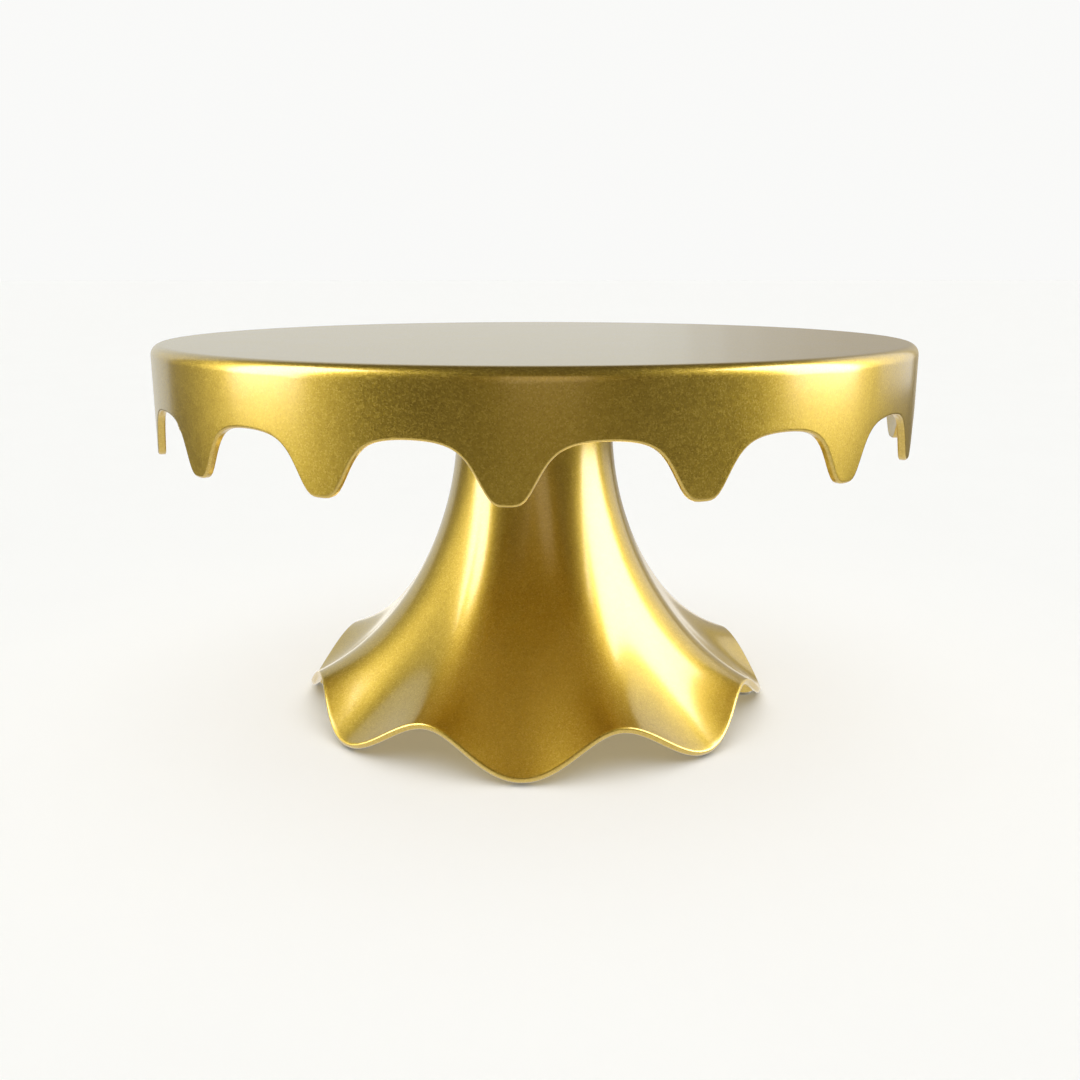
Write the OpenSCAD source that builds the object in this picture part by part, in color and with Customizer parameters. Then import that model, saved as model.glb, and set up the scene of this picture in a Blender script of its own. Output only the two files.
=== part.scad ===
// Cake stand: a round plate with a skirt of drips, on a hollow flared foot with a wavy hem.
// The plate lifts off the foot once the clamp screw inside the neck is undone.
// The origin is on the table, under the middle of the stand, +Z up and a lobe of the foot towards -Y.

/* [Plate] */
// Outside diameter of the plate
plate_d = 300; // [240:5:360]
// Height of the cake face above the table
stand_h = 153; // [130:1:190]
// Thickness of the flat top
top_t = 3.2; // [3:0.2:5]
// Thickness of the skirt
skirt_t = 2.8; // [2:0.2:4]
// Outside radius of the rounded rim
rim_r = 4; // [4:0.5:8]

/* [Drips] */
// Number of drips round the skirt
drip_count = 16; // [16:8:24]
// Depth of the drip tips below the cake face
drip_depth = 40.5; // [34:0.5:55]
// Depth of the arch tops below the cake face
arch_depth = 21.5; // [16:0.5:28]
// How broad a drip is within its pitch
drip_breadth = 0.52; // [0.45:0.01:0.75]
// How steep the sides of a drip are
drip_steepness = 3.7; // [2:0.1:4]

/* [Ribs under the plate] */
// Thickness of every rib
rib_t = 2; // [1.4:0.2:3]
// Height of a radial rib at the collar
rib_h_inner = 7; // [4:0.5:8]
// Height of a radial rib at the skirt
rib_h_outer = 4; // [2:0.5:6]
// Mean radius of the ring rib
ring_rib_r = 92; // [70:1:105]
// Height of the ring rib
ring_rib_h = 5; // [2:0.5:6]

/* [Foot] */
// Number of lobes round the hem, with a pad under each
lobe_count = 8; // [6:1:10]
// Wall of the foot and its neck
foot_wall = 2.7; // [2:0.1:3.4]
// Outside radius of the neck
neck_r = 32.5; // [30:0.5:40]
// Length of the straight neck
neck_len = 28; // [22:1:40]
// Outside radius of the hem at a lobe
lobe_r = 99; // [85:0.5:120]
// Height of the hem's outer edge at a lobe
lobe_edge_h = 3; // [2.8:0.1:4]
// Slope of the lobe where it meets the hem, in degrees
lobe_slope = 33; // [25:1:38]
// How far the lobe's slope carries up the flare
lobe_pull = 60; // [45:1:70]
// Outside radius of the hem at an arch
hem_arch_r = 94; // [80:0.5:115]
// Height of the hem's outer edge at an arch
hem_arch_h = 18; // [10:0.5:24]
// Slope of the arch where it meets the hem, in degrees
hem_arch_slope = 20; // [10:1:30]
// How far the arch's slope carries up the flare
hem_arch_pull = 44; // [35:1:55]
// How far the straight neck carries into the flare
neck_pull = 37; // [25:1:50]

/* [Neck joint] */
// Thickness of the web that closes the neck
web_t = 4; // [3:0.5:6]
// Thickness of the gasket between the plate and the web
gasket_t = 2; // [1:0.5:3]
// Thickness of the landing that presses on the gasket
landing_t = 2; // [1:0.5:4]
// Gap between the plate's collar and the neck
collar_gap = 0.3; // [0.2:0.1:0.6]
// Thickness of the collar
collar_t = 2.4; // [1.6:0.2:4]
// How far the collar reaches down over the neck
collar_lap = 6; // [4:0.5:10]
// Width of the two keys that stop the plate from turning
key_w = 5; // [3:0.5:8]
// Depth of a key into the neck
key_d = 1.6; // [1:0.1:1.8]
// Gap round a key in its notch
key_gap = 0.4; // [0.2:0.1:0.8]

/* [Clamp screw] */
// Diameter of the thread, drawn as a plain shank
thread_d = 8; // [6:1:8]
// Pitch of the thread
thread_pitch = 1.25; // [1:0.05:1.25]
// Turns that take the screw out of the insert
thread_turns = 6; // [4:1:6]
// Radial running gap of the thread
thread_gap = 0.05; // [0.02:0.01:0.1]
// Outside diameter of the threaded insert
insert_d = 12; // [11:0.5:13]
// Wall of the boss round the insert
boss_wall = 3; // [2:0.5:4]
// Gap between the boss and the hole in the web
boss_gap = 0.4; // [0.2:0.1:0.8]
// Outside diameter of the washer
washer_d = 32; // [28:1:36]
// Thickness of the washer
washer_t = 2; // [1.5:0.5:3]
// Distance across the flats of the screw's hexagon head
hex_af = 13; // [10:1:13]
// Height of the screw's head
hex_h = 5.3; // [4:0.1:6]

/* [Wing knob] */
// Diameter of the knob's hub
hub_d = 19; // [18:0.5:22]
// Height of the hub
hub_h = 16; // [14:0.5:20]
// Distance from wing tip to wing tip
wing_span = 40; // [32:1:46]
// Thickness of a wing
wing_t = 5; // [4:0.5:7]
// Radius of a wing's rounded tip
wing_tip_r = 5; // [4:0.5:6]

/* [Foot pads] */
// Diameter of a pad
pad_d = 8.4; // [6:0.2:9]
// Thickness of a pad
pad_t = 1.3; // [1:0.1:1.6]
// Wall of the moulded seat that stands out round a pad
pad_rim = 0.9; // [0.5:0.1:1.2]
// Where the pads sit along the flare, from 0 at the neck to 1 at the hem
pad_place = 0.95; // [0.93:0.01:0.96]

/* [Hidden] */
PART_NODES = ["plate", "threaded_insert", "gasket", "pedestal", "washer", "clamp_screw", "wing_knob"];
$fn = 96;
eps = 0.5;              // how far a cutter runs past what it cuts
overlap = 0.6;          // how far one rib or ring of a moulding runs into its neighbour

gold = [0.79, 0.64, 0.25];
brass = [0.78, 0.65, 0.36];
steel = [0.75, 0.76, 0.78];
black = [0.12, 0.12, 0.13];
grey = [0.80, 0.80, 0.78];

plate_r = plate_d / 2;
plate_under = stand_h - top_t;                 // underside of the flat top
drip_pitch = 360 / drip_count;
outline_steps = 32;                            // straight runs along one arch between two drips
tip_flat = 0.02;                               // share of a drip's depth that the flat tip takes off
collar_r = neck_r + collar_gap;                // inside of the collar
landing_z = plate_under - landing_t;
web_top = landing_z - gasket_t;
web_under = web_top - web_t;
flare_top = web_top - neck_len;
neck_in_r = neck_r - foot_wall;

thread_r = thread_d / 2;
insert_r = insert_d / 2;
boss_r = insert_r + boss_wall;
web_hole_r = boss_r + boss_gap;
boss_end = web_under + 1;                      // the boss stops short of the washer
screw_travel = thread_turns * thread_pitch;
screw_tip = boss_end + screw_travel;
insert_len = screw_travel + 0.5;
washer_under = web_under - washer_t;
hub_end = washer_under - hub_h;
hex_top = hub_end + hex_h + 1.5;

// Share of the full drip depth at u, where 0 is a drip's middle and 1 an arch's top
function drip_bump(u) = 1 / (1 + pow(sin(90 * u) / drip_breadth, drip_steepness));
function drip_share(u) = (drip_bump(u) - drip_bump(1)) / (1 - drip_bump(1));
function drip_edge_z(u) = stand_h - arch_depth - (drip_depth - arch_depth) * drip_share(u) * (1 + tip_flat);

function mix(a, b, w) = a + (b - a) * w;
function arc(centre, r, a0, a1, steps) =
    [for (i = [0:steps]) let (a = mix(a0, a1, i / steps)) centre + r * [cos(a), sin(a)]];
function bezier(p, t) =
    p[0] * pow(1 - t, 3) + 3 * p[1] * pow(1 - t, 2) * t + 3 * p[2] * (1 - t) * t * t + p[3] * pow(t, 3);

// The flare runs between two side curves, one down the middle of a lobe and one down the middle of an arch
function side_curve(hem, slope, pull) = [
    [neck_r, flare_top],
    [neck_r, flare_top - neck_pull],
    hem + pull * [-cos(slope), sin(slope)],
    hem
];
lobe_curve = side_curve([lobe_r, lobe_edge_h], lobe_slope, lobe_pull);
arch_curve = side_curve([hem_arch_r, hem_arch_h], hem_arch_slope, hem_arch_pull);

// Point on the flare's outside, t of the way down and at angle a from a lobe
function flare_point(t, a) =
    let (p = mix(bezier(lobe_curve, t), bezier(arch_curve, t), (1 - cos(lobe_count * a)) / 2))
    [p[0] * sin(a), -p[0] * cos(a), p[1]];
function flare_normal(t, a) =
    let (n = cross(flare_point(t + 0.001, a) - flare_point(t - 0.001, a),
                   flare_point(t, a + 0.05) - flare_point(t, a - 0.05)))
    n / norm(n);
function wall_point(t, a, depth) = flare_point(t, a) - depth * flare_normal(t, a);

// Turns what it holds so that its local -Y points at angle a round the stand
module at_angle(a) rotate([0, 0, a]) children();

module ring(r_out, r_in, z0, z1) {
    translate([0, 0, z0]) difference() {
        cylinder(r = r_out, h = z1 - z0);
        translate([0, 0, -eps]) cylinder(r = r_in, h = z1 - z0 + 2 * eps);
    }
}

// ---- plate ----

module plate_shell() {
    skirt_end = stand_h - drip_depth;
    inner_rim_r = rim_r - skirt_t;
    rotate_extrude($fn = 180) polygon(concat(
        [[0, stand_h]],
        arc([plate_r - rim_r, stand_h - rim_r], rim_r, 90, 0, 8),
        [[plate_r, skirt_end], [plate_r - skirt_t, skirt_end]],
        arc([plate_r - rim_r, plate_under - inner_rim_r], inner_rim_r, 0, 90, 5),
        [[0, plate_under]]
    ));
}

module arch_cutter() {
    half = drip_pitch / 2;
    reach = 12;                                // covers the skirt's curve across one arch
    outline = [for (i = [0:outline_steps]) let (a = mix(-half, half, i / outline_steps))
        [plate_r * sin(a), drip_edge_z(1 - abs(a) / half)]];
    below = stand_h - drip_depth - 4;
    rotate([90, 0, 0]) translate([0, 0, plate_r - reach]) linear_extrude(reach + 2)
        polygon(concat(outline, [[plate_r * sin(half), below], [-plate_r * sin(half), below]]));
}

module radial_rib() {
    inner = collar_r + collar_t - overlap;
    outer = plate_r - skirt_t + overlap;
    rotate([90, 0, 90]) translate([0, 0, -rib_t / 2]) linear_extrude(rib_t) polygon([
        [-inner, plate_under + overlap],
        [-outer, plate_under + overlap],
        [-outer, plate_under - rib_h_outer],
        [-inner, plate_under - rib_h_inner]
    ]);
}

module key(w, z0, z1) {
    depth = collar_gap + key_d;
    for (side = [90, 270]) at_angle(side)
        translate([-w / 2, -collar_r - overlap, z0]) cube([w, depth + overlap, z1 - z0]);
}

module plate() color(gold) difference() {
    union() {
        difference() {
            plate_shell();
            for (i = [0:drip_count - 1]) at_angle((i + 0.5) * drip_pitch) arch_cutter();
        }
        for (i = [0:drip_count - 1]) at_angle(i * drip_pitch) radial_rib();
        ring(ring_rib_r + rib_t / 2, ring_rib_r - rib_t / 2, plate_under - ring_rib_h, plate_under + overlap);
        ring(collar_r + collar_t, collar_r, web_top - collar_lap, plate_under + overlap);
        key(key_w, web_top - collar_lap, plate_under + overlap);
        translate([0, 0, landing_z]) cylinder(r = neck_r - key_d - 1, h = landing_t + overlap);
        translate([0, 0, boss_end]) cylinder(r = boss_r, h = plate_under - boss_end + overlap);
    }
    translate([0, 0, boss_end - eps]) cylinder(r = insert_r, h = insert_len + eps);
}

module threaded_insert() color(brass) translate([0, 0, boss_end]) difference() {
    cylinder(r = insert_r, h = insert_len);
    translate([0, 0, -eps]) cylinder(r = thread_r + thread_gap, h = insert_len + 2 * eps);
    for (z = [2.2, 5.0]) translate([0, 0, z]) ring(insert_r + eps, insert_r - 0.6, 0, 0.9);
}

module gasket() color(black)
    ring(neck_r - foot_wall - 2, web_hole_r + 2, web_top, landing_z);

// ---- foot ----

flare_columns = 12 * lobe_count;
flare_rows = 15;

module flare() {
    per_row = flare_columns;
    per_side = per_row * (flare_rows + 1);
    points = [for (depth = [0, foot_wall]) for (row = [0:flare_rows]) for (col = [0:per_row - 1])
        wall_point(row / flare_rows, 360 * col / per_row, depth)];
    function id(side, row, col) = side * per_side + row * per_row + col % per_row;
    outside = [for (row = [0:flare_rows - 1]) for (col = [0:per_row - 1])
        [id(0, row, col), id(0, row, col + 1), id(0, row + 1, col + 1), id(0, row + 1, col)]];
    inside = [for (row = [0:flare_rows - 1]) for (col = [0:per_row - 1])
        [id(1, row, col), id(1, row + 1, col), id(1, row + 1, col + 1), id(1, row, col + 1)]];
    top = [for (col = [0:per_row - 1]) [id(0, 0, col), id(1, 0, col), id(1, 0, col + 1), id(0, 0, col + 1)]];
    hem = [for (col = [0:per_row - 1])
        [id(0, flare_rows, col), id(0, flare_rows, col + 1), id(1, flare_rows, col + 1), id(1, flare_rows, col)]];
    polyhedron(points, concat(outside, inside, top, hem), convexity = 6);
}

module neck() {
    skin = 0.05;                               // the neck stands this proud of the flare's flats
    lap = 2;
    difference() {
        ring(neck_r + skin, neck_in_r - skin, flare_top - lap, web_top);
        key_notches();
    }
    difference() {
        translate([0, 0, web_under]) cylinder(r = neck_r - overlap, h = web_t);
        translate([0, 0, web_under - eps]) cylinder(r = web_hole_r, h = web_t + 2 * eps);
        key_notches();
    }
}

module key_notches() {
    w = key_w + 2 * key_gap;
    for (side = [90, 270]) at_angle(side)
        translate([-w / 2, -neck_r - 1, web_top - collar_lap - key_gap])
            cube([w, key_d + key_gap + 1, collar_lap + key_gap + eps]);
}

// Solid post under a lobe that holds a pad, cut off square above and along the middle of the wall
module pad_seat() {
    middle = wall_point(pad_place, 0, foot_wall / 2);
    above = wall_point(pad_place - 0.02, 0, foot_wall / 2);
    fall = atan2(above[2] - middle[2], above[1] - middle[1]);
    post_r = pad_d / 2 + pad_rim;
    difference() {
        translate([0, middle[1], pad_t]) cylinder(r = post_r, h = middle[2] + post_r, $fn = 32);
        translate(middle) rotate([fall, 0, 0]) translate([-20, -20, 0]) cube(40);
    }
}

module pedestal() color(gold) union() {
    flare();
    neck();
    for (i = [0:lobe_count - 1]) at_angle(i * 360 / lobe_count) pad_seat();
}

module foot_pad(i) color(grey) {
    middle = wall_point(pad_place, 0, foot_wall / 2);
    at_angle((i - 1) * 360 / lobe_count) translate([0, middle[1], 0]) cylinder(r = pad_d / 2, h = pad_t, $fn = 32);
}

// ---- clamp screw ----

module washer() color(steel)
    ring(washer_d / 2, thread_r + 0.3, washer_under, web_under);

module hexagon(af, z0, z1) translate([0, 0, z0]) cylinder(r = af / 2 / cos(30), h = z1 - z0, $fn = 6);

module clamp_screw() color(steel) union() {
    chamfer = 0.8;
    translate([0, 0, hex_top - overlap]) cylinder(r = thread_r, h = screw_tip - chamfer - hex_top + overlap);
    translate([0, 0, screw_tip - chamfer]) cylinder(r1 = thread_r, r2 = thread_r - chamfer, h = chamfer);
    hexagon(hex_af, hex_top - hex_h, hex_top);
}

module wing(side) {
    tip = [wing_span / 2 - wing_tip_r, hub_end + wing_tip_r];
    root = [hub_d / 2 - 1, hub_end + hub_h * 0.62];
    mirror([side, 0, 0]) rotate([90, 0, 0]) translate([0, 0, -wing_t / 2]) linear_extrude(wing_t) union() {
        translate(tip) circle(r = wing_tip_r, $fn = 48);
        translate([0, hub_end]) square([tip[0], root[1] - hub_end]);
        polygon([[0, root[1]], root, tip + wing_tip_r * [0.55, 0.835], tip, [0, tip[1]]]);
    }
}

module wing_knob() color(black) difference() {
    union() {
        translate([0, 0, hub_end]) cylinder(r = hub_d / 2, h = hub_h);
        for (side = [0, 1]) wing(side);
    }
    translate([0, 0, hub_end - eps]) cylinder(r = thread_r + thread_gap, h = hub_h + 2 * eps);
    hexagon(hex_af + 2 * thread_gap, hub_end - eps, hex_top);
}

plate();
threaded_insert();
gasket();
pedestal();
washer();
clamp_screw();
wing_knob();
for (i = [1:lobe_count]) foot_pad(i);
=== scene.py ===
# Cake stand: a gold plate with a dripping skirt on a hollow flared foot, with its clamp screw and pads.
import math

import bmesh
import bpy
import numpy as np
from mathutils import Matrix, Vector


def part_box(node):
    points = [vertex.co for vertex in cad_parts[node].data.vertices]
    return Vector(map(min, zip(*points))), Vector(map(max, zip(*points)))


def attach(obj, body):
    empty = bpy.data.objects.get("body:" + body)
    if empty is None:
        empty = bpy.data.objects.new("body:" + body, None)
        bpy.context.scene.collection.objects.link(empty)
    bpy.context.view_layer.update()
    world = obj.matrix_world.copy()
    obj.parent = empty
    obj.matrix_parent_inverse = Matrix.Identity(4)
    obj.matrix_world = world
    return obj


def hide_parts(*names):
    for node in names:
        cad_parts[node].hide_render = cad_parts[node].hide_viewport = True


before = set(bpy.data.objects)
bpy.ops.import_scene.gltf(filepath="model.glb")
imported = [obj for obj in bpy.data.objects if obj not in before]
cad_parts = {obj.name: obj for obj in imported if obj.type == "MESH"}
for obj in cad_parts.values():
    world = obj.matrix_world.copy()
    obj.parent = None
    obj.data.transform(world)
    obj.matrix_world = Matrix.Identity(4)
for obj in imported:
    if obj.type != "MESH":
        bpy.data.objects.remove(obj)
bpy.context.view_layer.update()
scene = bpy.context.scene
mm = 0.001


class Wire:
    # the output of a node, on which sums can be written
    def __init__(self, kit, socket):
        self.kit, self.socket = kit, socket

    def __getitem__(self, name):
        return Wire(self.kit, self.socket.node.outputs[name])

    def maths(self, operation, *values, clamp=False):
        settings = {"operation": operation, "use_clamp": clamp}
        return self.kit.node("ShaderNodeMath", settings, dict(enumerate(values)))

    def __add__(self, other):
        return self.maths("ADD", self, other)

    def __radd__(self, other):
        return self.maths("ADD", other, self)

    def __sub__(self, other):
        return self.maths("SUBTRACT", self, other)

    def __rsub__(self, other):
        return self.maths("SUBTRACT", other, self)

    def __mul__(self, other):
        return self.maths("MULTIPLY", self, other)

    def __rmul__(self, other):
        return self.maths("MULTIPLY", other, self)

    def __truediv__(self, other):
        return self.maths("DIVIDE", self, other)

    def __rtruediv__(self, other):
        return self.maths("DIVIDE", other, self)

    def __pow__(self, other):
        return self.maths("POWER", self, other)

    def __gt__(self, other):
        return self.maths("GREATER_THAN", self, other)

    def __lt__(self, other):
        return self.maths("LESS_THAN", self, other)


class Kit:
    # one node tree while it is put together
    def __init__(self, tree):
        self.tree = tree

    def node(self, kind, settings=None, inputs=None, out=0):
        made = self.tree.nodes.new(kind)
        for name, value in (settings or {}).items():
            if name == "stops":
                ramp = made.color_ramp
                while len(ramp.elements) < len(value):
                    ramp.elements.new(0.5)
                for element, (place, colour) in zip(ramp.elements, value):
                    element.position, element.color = place, (*colour, 1)
            else:
                setattr(made, name, value)
        for name, value in (inputs or {}).items():
            socket = made.inputs[name]
            if isinstance(value, Wire):
                self.tree.links.new(value.socket, socket)
            elif hasattr(value, "__len__") and socket.type == "RGBA":
                socket.default_value = (*value[:3], 1)
            else:
                socket.default_value = value
        return Wire(self, made.outputs[out]) if made.outputs else made

    def vector(self, x, y, z):
        return self.node("ShaderNodeCombineXYZ", None, {0: x, 1: y, 2: z})

    def blend(self, share, a, b):
        return self.node("ShaderNodeMix", {"data_type": "RGBA"}, {0: share, 6: a, 7: b}, out=2)


def sine(x):
    return x.maths("SINE", x) if isinstance(x, Wire) else math.sin(x)


def cosine(x):
    return x.maths("COSINE", x) if isinstance(x, Wire) else math.cos(x)


def cross(a, b):
    return a[1] * b[2] - a[2] * b[1], a[2] * b[0] - a[0] * b[2], a[0] * b[1] - a[1] * b[0]


def unit(a):
    long = (a[0] * a[0] + a[1] * a[1] + a[2] * a[2]) ** 0.5
    return a[0] / long, a[1] / long, a[2] / long


class ShapeTree(Kit):
    # a Geometry Nodes tree with a named input for each size
    kinds = {int: "NodeSocketInt", float: "NodeSocketFloat", bpy.types.Material: "NodeSocketMaterial"}

    def __init__(self, name, sizes):
        super().__init__(bpy.data.node_groups.new(name, "GeometryNodeTree"))
        face = self.tree.interface
        face.new_socket("Geometry", in_out="INPUT", socket_type="NodeSocketGeometry")
        face.new_socket("Geometry", in_out="OUTPUT", socket_type="NodeSocketGeometry")
        self.sizes, self.keys = sizes, {}
        for label, value in sizes.items():
            socket = face.new_socket(label, in_out="INPUT", socket_type=self.kinds[type(value)])
            self.keys[label] = socket.identifier
        self.entry = self.node("NodeGroupInput")

    def size(self, label):
        return self.entry[label]

    def aroundAndAlong(self, count):
        # the angle, the place along the outline, and how far through each of its stretches a point is
        place = self.node("GeometryNodeInputPosition")
        turn = self.node("ShaderNodeSeparateXYZ", None, {0: place})
        along = turn["Y"]
        return turn["X"] * (2 * math.pi), along, [
            along.maths("SUBTRACT", along, i, clamp=True) for i in range(count)
        ]

    def bent(self, x, y, z, geometry="Geometry"):
        moved = self.node("GeometryNodeSetPosition", None,
                          {"Geometry": self.entry[geometry], "Position": self.vector(x, y, z)})
        return self.node("GeometryNodeMergeByDistance", None, {"Geometry": moved, "Distance": 0.008 * mm})

    def finish(self, geometry):
        real = self.node("GeometryNodeRealizeInstances", None, {"Geometry": geometry})
        painted = self.node("GeometryNodeSetMaterial", None, {"Geometry": real, "Material": self.size("Finish")})
        self.node("NodeGroupOutput", None, {"Geometry": painted})

    def applyTo(self, obj):
        modifier = obj.modifiers.new(self.tree.name, "NODES")
        modifier.node_group = self.tree
        for label, value in self.sizes.items():
            modifier[self.keys[label]] = value
        return plain(obj)


def newObject(name, points, faces):
    mesh = bpy.data.meshes.new(name)
    mesh.from_pydata(points, [], faces)
    obj = bpy.data.objects.new(name, mesh)
    scene.collection.objects.link(obj)
    return obj


def plain(obj):
    # the object with its modifiers turned into plain mesh
    bpy.context.view_layer.update()
    graph = bpy.context.evaluated_depsgraph_get()
    mesh = bpy.data.meshes.new_from_object(obj.evaluated_get(graph), depsgraph=graph)
    mesh.name = obj.name
    old = obj.data
    obj.modifiers.clear()
    obj.data = mesh
    bpy.data.meshes.remove(old)
    return obj


def faceOut(obj, smoothTo=32):
    # faces outwards, smooth except where they meet more sharply than smoothTo degrees
    work = bmesh.new()
    work.from_mesh(obj.data)
    bmesh.ops.recalc_face_normals(work, faces=work.faces)
    if work.calc_volume(signed=True) < 0:
        bmesh.ops.reverse_faces(work, faces=work.faces)
    loose = sum(not edge.is_manifold for edge in work.edges)
    work.to_mesh(obj.data)
    work.free()
    obj.data.shade_smooth()
    obj.data.set_sharp_from_angle(angle=math.radians(smoothTo))
    print(f"  {obj.name}: {len(obj.data.polygons)} faces, {loose} open edges")
    return obj


def stations(stretches):
    # a whole number is that many even steps, a list is the places of the steps
    rows = [0.0]
    for start, steps in enumerate(stretches):
        shares = [(i + 1) / steps for i in range(steps)] if isinstance(steps, int) else steps
        rows += [start + share for share in shares]
    return rows


def flatSheet(name, columns, rows):
    # a sheet one turn wide and as long as the outline, for a tree to bend into shape
    wide = columns + 1
    points = [(col / columns, row, 0) for row in rows for col in range(wide)]
    faces = [(r * wide + c, (r + 1) * wide + c, (r + 1) * wide + c + 1, r * wide + c + 1)
             for r in range(len(rows) - 1) for c in range(columns)]
    return newObject(name, points, faces)


def rounded(corners, steps=4):
    # an outline whose corners (radius, height, rounding) are rounded off
    count, outline = len(corners), []
    for i, (x, z, r) in enumerate(corners):
        here = Vector((x, z))
        back = Vector(corners[i - 1][:2]) - here
        on = Vector(corners[(i + 1) % count][:2]) - here
        if r <= 0:
            outline.append(tuple(here))
            continue
        half = back.angle(on) / 2
        reach = min(r / math.tan(half), back.length * 0.49, on.length * 0.49)
        r = reach * math.tan(half)
        centre = here + (back.normalized() + on.normalized()).normalized() * (r / math.sin(half))
        first = here + back.normalized() * reach - centre
        sweep = first.angle_signed(here + on.normalized() * reach - centre)
        for k in range(steps + 1):
            turn = Matrix.Rotation(-sweep * k / steps, 2)
            outline.append(tuple(centre + turn @ first))
    return outline


def turned(name, corners, columns=96, steps=4):
    # a closed outline turned once round the Z axis, with corners in millimetres; a corner on the axis becomes a pole
    outline = rounded([(x * mm, z * mm, r * mm) for x, z, r in corners], steps)
    points = [(x * math.sin(a), -x * math.cos(a), z)
              for a in np.linspace(0, 2 * math.pi, columns, endpoint=False) for x, z in outline]
    n, total = len(outline), len(outline) * columns
    faces = [(c * n + r, c * n + (r + 1) % n, (c * n + n + (r + 1) % n) % total, (c * n + n + r) % total)
             for c in range(columns) for r in range(n)]
    obj = newObject(name, points, faces)
    work = bmesh.new()
    work.from_mesh(obj.data)
    bmesh.ops.remove_doubles(work, verts=work.verts, dist=0.0005 * mm)
    bmesh.ops.dissolve_degenerate(work, edges=work.edges, dist=0.0002 * mm)
    bmesh.ops.delete(work, geom=[edge for edge in work.edges if not edge.link_faces], context="EDGES")
    work.to_mesh(obj.data)
    work.free()
    return faceOut(obj)


def block(name, low, high, bevel=0.0, segments=3):
    # a box between two corners in millimetres, with bevelled edges
    xs, ys, zs = zip(low, high)
    points = [(x * mm, y * mm, z * mm) for z in zs for y in ys for x in xs]
    faces = [(0, 2, 3, 1), (4, 5, 7, 6), (0, 1, 5, 4), (2, 6, 7, 3), (0, 4, 6, 2), (1, 3, 7, 5)]
    obj = newObject(name, points, faces)
    if bevel:
        softer = obj.modifiers.new("softer", "BEVEL")
        softer.width, softer.segments, softer.limit_method = bevel * mm, segments, "NONE"
        plain(obj)
    return faceOut(obj)


def placed(obj, matrix):
    obj.data.transform(matrix)
    return obj


def carve(obj, *steps):
    # each step is "UNION", "DIFFERENCE" or "INTERSECT" and the object that it is done with
    for operation, tool in steps:
        cut = obj.modifiers.new(operation.lower(), "BOOLEAN")
        cut.operation, cut.object, cut.solver = operation, tool, "MANIFOLD"
        tool.hide_render = True
        plain(obj)
        bpy.data.objects.remove(tool)
    return obj


def give(obj, body, finish, slot, *nodes):
    # finish and body of a piece, and the CAD nodes that it stands for
    obj.data.materials.clear()
    obj.data.materials.append(finish)
    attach(obj, body)
    if nodes:
        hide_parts(*nodes)
    return obj


class Finish(Kit):
    def __init__(self, name, **fixed):
        material = bpy.data.materials.new(name)
        material.use_nodes = True
        super().__init__(material.node_tree)
        self.tree.nodes.clear()
        self.material, self.fixed = material, fixed
        self.place = self.node("ShaderNodeTexCoord")["Object"]

    def noise(self, perMetre, detail=2.0, roughness=0.5):
        return self.node("ShaderNodeTexNoise", {"noise_dimensions": "3D"},
                         {"Vector": self.place, "Scale": perMetre, "Detail": detail, "Roughness": roughness})

    def cells(self, perMetre, feature="F1"):
        return self.node("ShaderNodeTexVoronoi", {"voronoi_dimensions": "3D", "feature": feature},
                         {"Vector": self.place, "Scale": perMetre})

    def levels(self, value, low, high, toLow=0.0, toHigh=1.0):
        return self.node("ShaderNodeMapRange", {"clamp": True},
                         {"Value": value, "From Min": low, "From Max": high, "To Min": toLow, "To Max": toHigh})

    def bump(self, height, depth, strength=1.0, normal=None):
        inputs = {"Height": height, "Distance": depth, "Strength": strength}
        if normal:
            inputs["Normal"] = normal
        return self.node("ShaderNodeBump", None, inputs)

    def done(self, **varying):
        names = {k.replace("_", " "): v for k, v in {**self.fixed, **varying}.items()}
        shader = self.node("ShaderNodeBsdfPrincipled", None, names)
        self.node("ShaderNodeOutputMaterial", None, {"Surface": shader})
        return self.material


goldPaint = {
    "colour": (0.56, 0.39, 0.042),       # body of the paint
    "flakeBright": (0.74, 0.55, 0.11),
    "flakeDark": (0.40, 0.25, 0.023),
    "flakePerMetre": 2300.0,
    "roughness": 0.38,
    "coat": 1.0,
    "coatRoughness": 0.17,
}


def makeGoldPaint():
    g = goldPaint
    paint = Finish("goldPaint", Metallic=1.0, Coat_Roughness=g["coatRoughness"], Coat_IOR=1.75, Coat_Weight=g["coat"])
    flakes = paint.cells(g["flakePerMetre"])
    each = paint.node("ShaderNodeSeparateColor", None, {0: flakes["Color"]})
    cloud = paint.noise(38.0, 3.0)["Fac"]             # slow drift of the spray
    grain = paint.noise(900.0, 2.0)["Fac"]
    bright = paint.levels(each["Red"], 0.55, 1.0)
    dark = paint.levels(each["Green"], 0.6, 1.0)
    colour = paint.blend(bright * 0.55, g["colour"], g["flakeBright"])
    colour = paint.blend(dark * 0.5, colour, g["flakeDark"])
    colour = paint.blend(paint.levels(cloud, 0.35, 0.7, 0.0, 0.16), colour, g["flakeBright"])
    speck = paint.cells(21.0)
    dirt = (speck["Distance"] < 0.012) * 0.6          # a few specks of dust caught in the paint
    colour = paint.blend(dirt, colour, (0.06, 0.045, 0.02))
    height = each["Blue"] * 0.5 + grain * 0.9
    return paint.done(
        Base_Color=colour,
        Roughness=g["roughness"] + (cloud - 0.5) * 0.08 + (each["Red"] - 0.5) * 0.10,
        Normal=paint.bump(height, 0.030 * mm, 0.55),
    )


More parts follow.
